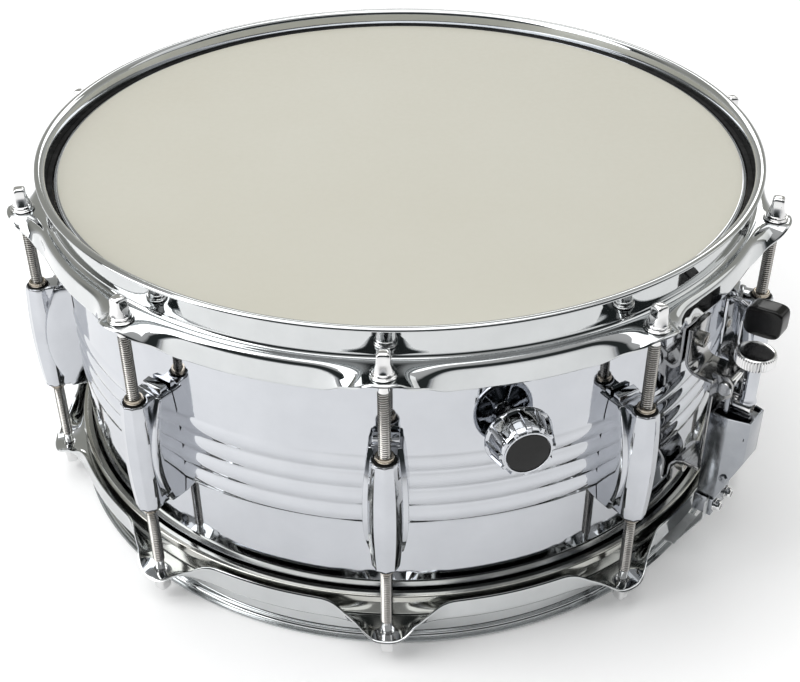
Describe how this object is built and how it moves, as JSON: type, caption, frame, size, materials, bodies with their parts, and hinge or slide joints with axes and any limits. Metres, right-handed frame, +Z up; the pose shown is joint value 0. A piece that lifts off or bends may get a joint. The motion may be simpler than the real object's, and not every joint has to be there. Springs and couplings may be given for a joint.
{
  "type": "snare drum",
  "caption": "Cylindrical steel snare drum with beaded shell, stamped hoops, tension rods in lugs, throw-off strainer with snare wires, butt plate and internal muffler.",
  "frame": {"origin": "on the drum's axis, at the level of the lower hoop's rim, where the drum stands on the floor", "axes": "+Z up along the drum's axis towards the upper head; -Y from the axis towards the front lug; the strainer is 54 degrees from -Y towards +X and the butt plate opposite it"},
  "size_m": [0.387, 0.4028, 0.182],
  "materials": {
    "chrome_steel": "polished chrome plate on steel",
    "chrome_casting": "polished chrome plate on die casting",
    "coated_film": "matt white coating, slightly grained",
    "clear_film": "thin hazy clear film",
    "flesh_aluminium": "satin",
    "spring_steel": "plain drawn wire",
    "zinc_steel": "bright zinc plate",
    "nut_brass": "plain turned",
    "black_enamel": "gloss black",
    "black_rubber": "smooth satin",
    "clear_plastic": "clear, slightly frosted",
    "felt_grey": "pressed wool felt"
  },
  "bodies": {
    "drum": {"shell": "chrome_steel", "vent_grommet": "chrome_steel", "batter_hoop": "chrome_steel", "snare_side_hoop": "chrome_steel", "batter_head": "coated_film", "batter_flesh_hoop": "flesh_aluminium", "snare_side_head": "clear_film", "snare_side_flesh_hoop": "flesh_aluminium", "lugs": "chrome_casting", "swivel_nuts": "nut_brass", "lug_springs": "spring_steel", "lug_screws": "zinc_steel", "rod_washers": "chrome_steel", "strainer_base": "chrome_steel", "strainer_base_screws": "zinc_steel", "butt_bracket": "chrome_casting", "butt_clamp_plate": "chrome_steel", "butt_screws": "chrome_steel", "butt_strap": "clear_plastic", "muffler_bracket": "zinc_steel", "muffler_nut": "chrome_steel"},
    "batter_rod_1": {"batter_rod_1": "chrome_steel"},
    "batter_rod_2": {"batter_rod_2": "chrome_steel"},
    "batter_rod_3": {"batter_rod_3": "chrome_steel"},
    "batter_rod_4": {"batter_rod_4": "chrome_steel"},
    "batter_rod_5": {"batter_rod_5": "chrome_steel"},
    "batter_rod_6": {"batter_rod_6": "chrome_steel"},
    "batter_rod_7": {"batter_rod_7": "chrome_steel"},
    "batter_rod_8": {"batter_rod_8": "chrome_steel"},
    "batter_rod_9": {"batter_rod_9": "chrome_steel"},
    "batter_rod_10": {"batter_rod_10": "chrome_steel"},
    "snare_rod_1": {"snare_rod_1": "chrome_steel"},
    "snare_rod_2": {"snare_rod_2": "chrome_steel"},
    "snare_rod_3": {"snare_rod_3": "chrome_steel"},
    "snare_rod_4": {"snare_rod_4": "chrome_steel"},
    "snare_rod_5": {"snare_rod_5": "chrome_steel"},
    "snare_rod_6": {"snare_rod_6": "chrome_steel"},
    "snare_rod_7": {"snare_rod_7": "chrome_steel"},
    "snare_rod_8": {"snare_rod_8": "chrome_steel"},
    "snare_rod_9": {"snare_rod_9": "chrome_steel"},
    "snare_rod_10": {"snare_rod_10": "chrome_steel"},
    "lever": {"throw_lever": "chrome_steel", "lever_cap": "black_rubber", "lever_pin": "chrome_steel"},
    "strainer_carriage": {"strainer_housing": "chrome_casting", "barrel_nut": "chrome_steel", "screw_sleeve": "chrome_steel"},
    "thumb_screw": {"thumb_wheel": "chrome_steel", "tension_screw": "chrome_steel"},
    "strap_clamp": {"slider_block": "chrome_casting", "clamp_plate": "chrome_steel", "clamp_screws": "chrome_steel", "strainer_strap": "clear_plastic"},
    "snares": {"snare_wires": "spring_steel", "wire_end_plates": "zinc_steel"},
    "muffler_knob": {"muffler_knob": "chrome_casting", "muffler_inlay": "black_enamel", "muffler_stem": "chrome_steel"},
    "muffler_arm": {"muffler_arm": "zinc_steel", "muffler_felt": "felt_grey"}
  },
  "joints": [
    {"name": "batter_rod_1_turn", "type": "hinge", "parent": "drum", "child": "batter_rod_1", "pos_m": [0, -0.1935, 0.14], "axis": [0, 0, 1], "continuous": true},
    {"name": "batter_rod_2_turn", "type": "hinge", "parent": "drum", "child": "batter_rod_2", "pos_m": [0.11374, -0.15654, 0.14], "axis": [0, 0, 1], "continuous": true},
    {"name": "batter_rod_3_turn", "type": "hinge", "parent": "drum", "child": "batter_rod_3", "pos_m": [0.18403, -0.0598, 0.14], "axis": [0, 0, 1], "continuous": true},
    {"name": "batter_rod_4_turn", "type": "hinge", "parent": "drum", "child": "batter_rod_4", "pos_m": [0.18403, 0.0598, 0.14], "axis": [0, 0, 1], "continuous": true},
    {"name": "batter_rod_5_turn", "type": "hinge", "parent": "drum", "child": "batter_rod_5", "pos_m": [0.11374, 0.15654, 0.14], "axis": [0, 0, 1], "continuous": true},
    {"name": "batter_rod_6_turn", "type": "hinge", "parent": "drum", "child": "batter_rod_6", "pos_m": [0, 0.1935, 0.14], "axis": [0, 0, 1], "continuous": true},
    {"name": "batter_rod_7_turn", "type": "hinge", "parent": "drum", "child": "batter_rod_7", "pos_m": [-0.11374, 0.15654, 0.14], "axis": [0, 0, 1], "continuous": true},
    {"name": "batter_rod_8_turn", "type": "hinge", "parent": "drum", "child": "batter_rod_8", "pos_m": [-0.18403, 0.0598, 0.14], "axis": [0, 0, 1], "continuous": true},
    {"name": "batter_rod_9_turn", "type": "hinge", "parent": "drum", "child": "batter_rod_9", "pos_m": [-0.18403, -0.0598, 0.14], "axis": [0, 0, 1], "continuous": true},
    {"name": "batter_rod_10_turn", "type": "hinge", "parent": "drum", "child": "batter_rod_10", "pos_m": [-0.11374, -0.15654, 0.14], "axis": [0, 0, 1], "continuous": true},
    {"name": "snare_rod_1_turn", "type": "hinge", "parent": "drum", "child": "snare_rod_1", "pos_m": [0, -0.1935, 0.042], "axis": [0, 0, 1], "continuous": true},
    {"name": "snare_rod_2_turn", "type": "hinge", "parent": "drum", "child": "snare_rod_2", "pos_m": [0.11374, -0.15654, 0.042], "axis": [0, 0, 1], "continuous": true},
    {"name": "snare_rod_3_turn", "type": "hinge", "parent": "drum", "child": "snare_rod_3", "pos_m": [0.18403, -0.0598, 0.042], "axis": [0, 0, 1], "continuous": true},
    {"name": "snare_rod_4_turn", "type": "hinge", "parent": "drum", "child": "snare_rod_4", "pos_m": [0.18403, 0.0598, 0.042], "axis": [0, 0, 1], "continuous": true},
    {"name": "snare_rod_5_turn", "type": "hinge", "parent": "drum", "child": "snare_rod_5", "pos_m": [0.11374, 0.15654, 0.042], "axis": [0, 0, 1], "continuous": true},
    {"name": "snare_rod_6_turn", "type": "hinge", "parent": "drum", "child": "snare_rod_6", "pos_m": [0, 0.1935, 0.042], "axis": [0, 0, 1], "continuous": true},
    {"name": "snare_rod_7_turn", "type": "hinge", "parent": "drum", "child": "snare_rod_7", "pos_m": [-0.11374, 0.15654, 0.042], "axis": [0, 0, 1], "continuous": true},
    {"name": "snare_rod_8_turn", "type": "hinge", "parent": "drum", "child": "snare_rod_8", "pos_m": [-0.18403, 0.0598, 0.042], "axis": [0, 0, 1], "continuous": true},
    {"name": "snare_rod_9_turn", "type": "hinge", "parent": "drum", "child": "snare_rod_9", "pos_m": [-0.18403, -0.0598, 0.042], "axis": [0, 0, 1], "continuous": true},
    {"name": "snare_rod_10_turn", "type": "hinge", "parent": "drum", "child": "snare_rod_10", "pos_m": [-0.11374, -0.15654, 0.042], "axis": [0, 0, 1], "continuous": true},
    {"name": "lever_throw", "type": "hinge", "parent": "drum", "child": "lever", "pos_m": [0.1614, -0.11726, 0.111], "axis": [0.5878, 0.809, 0], "range_deg": [0, 100]},
    {"name": "carriage_drop", "type": "slide", "parent": "drum", "child": "strainer_carriage", "axis": [0, 0, -1], "range_m": [0, 0.0034]},
    {"name": "thumb_turn", "type": "hinge", "parent": "strainer_carriage", "child": "thumb_screw", "pos_m": [0.16795, -0.12202, 0.127], "axis": [0, 0, 1], "range_deg": [0, 540]},
    {"name": "clamp_travel", "type": "slide", "parent": "strainer_carriage", "child": "strap_clamp", "axis": [0, 0, -1], "range_m": [0, 0.00106]},
    {"name": "snare_drop", "type": "hinge", "parent": "drum", "child": "snares", "pos_m": [-0.1343, 0.09757, 0.0072], "axis": [0.5878, 0.809, 0], "range_deg": [0, 0.6]},
    {"name": "muffler_turn", "type": "hinge", "parent": "drum", "child": "muffler_knob", "pos_m": [0.05822, -0.18464, 0.124], "axis": [0.3007, -0.9537, 0], "range_deg": [0, 540]},
    {"name": "muffler_lift", "type": "hinge", "parent": "drum", "child": "muffler_arm", "pos_m": [0.05082, -0.16118, 0.1075], "axis": [0.9537, 0.3007, 0], "range_deg": [0, 3.4]}
  ],
  "couplings": [
    {"joint": "carriage_drop", "follows": "lever_throw", "m_per_rad": 0.001948},
    {"joint": "snare_drop", "follows": "lever_throw", "ratio": 0.005868},
    {"joint": "clamp_travel", "follows": "thumb_turn", "m_per_rad": 0.0001114},
    {"joint": "muffler_lift", "follows": "muffler_turn", "ratio": 0.00629}
  ]
}
